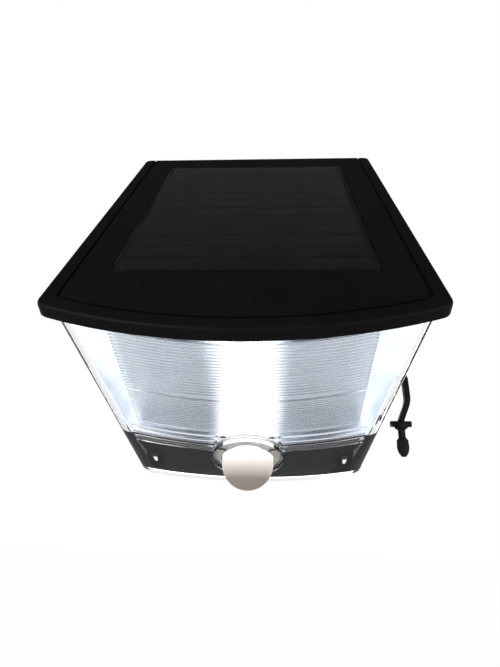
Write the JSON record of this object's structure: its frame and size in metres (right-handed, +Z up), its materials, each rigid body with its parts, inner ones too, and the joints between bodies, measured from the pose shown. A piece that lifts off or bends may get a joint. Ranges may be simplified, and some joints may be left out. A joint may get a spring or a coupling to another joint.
{
  "type": "solar motion wall light",
  "caption": "Wedge-shaped solar wall and fence light with a sloping panel lid, a clear ribbed front, a motion-sensor dome and a rubber socket stopper.",
  "frame": {"origin": "middle of the flat back that lies on the wall, halfway up the lamp", "axes": "+Z up, -Y out of the wall towards the viewer, +X to the viewer's right"},
  "size_m": [0.0992, 0.0712, 0.1371],
  "materials": {
    "black_satin": "satin moulded, UV-stable black",
    "black_casing": "fine-textured moulded black",
    "black_inner": "matt moulded black",
    "clear_cover": "clear polycarbonate, finely ribbed inside",
    "bright_reflector": "vacuum-metallised bright",
    "milky_dome": "milky polyethylene, soft sheen",
    "solar_silicon": "dark blue-black silicon strips",
    "clear_resin": "clear cast epoxy, glossy",
    "board_laminate": "green solder mask",
    "led_phosphor": "yellow phosphor in white packages, lit",
    "sensor_can": "plated steel can",
    "battery_wrap": "plain shrink-wrapped cell",
    "capacitor_can": "sleeved aluminium can",
    "white_socket": "natural nylon",
    "button_black": "matt black",
    "black_rubber": "soft black rubber",
    "seal_rubber": "grey closed-cell sponge rubber",
    "plated_steel": "zinc or nickel plated",
    "lead_red": "soft insulated wire, red",
    "lead_black": "soft insulated wire, black"
  },
  "bodies": {
    "lamp": {"roof_lid": "black_satin", "lid_seal": "seal_rubber", "solar_board": "board_laminate", "solar_cells": "solar_silicon", "solar_window": "clear_resin", "lens_cover": "clear_cover", "rear_housing": "black_casing", "joint_seals": "seal_rubber", "reflector": "bright_reflector", "led_board": "board_laminate", "leds": "led_phosphor", "pir_dome": "milky_dome", "dome_seal": "seal_rubber", "pir_holder": "black_inner", "pir_sensor": "sensor_can", "sensor_board": "board_laminate", "battery_cell": "battery_wrap", "battery_tabs": "plated_steel", "battery_clamps": "plated_steel", "control_board": "board_laminate", "board_chips": "black_inner", "board_capacitor": "capacitor_can", "board_sockets": "white_socket", "power_switch": "black_inner", "lid_screws": "plated_steel", "cover_screws": "plated_steel", "reflector_screws": "plated_steel", "holder_screws": "plated_steel", "board_screws": "plated_steel", "clamp_screws": "plated_steel", "solar_lead": "lead_red", "led_lead": "lead_red", "sensor_lead": "lead_black", "battery_leads": "lead_black"},
    "button": {"power_button": "button_black", "switch_plunger": "white_socket"},
    "stopper": {"stopper": "black_rubber"}
  },
  "joints": [
    {"name": "button_press", "type": "slide", "parent": "lamp", "child": "button", "axis": [-1, 0, 0], "range_m": [0, 0.001], "stiffness_N_per_m": 400, "springref_m": -0.0005},
    {"name": "stopper_swing", "type": "hinge", "parent": "lamp", "child": "stopper", "pos_m": [0.042, -0.0126, -0.033], "axis": [1, 0, 0], "range_deg": [-150, 15]}
  ]
}
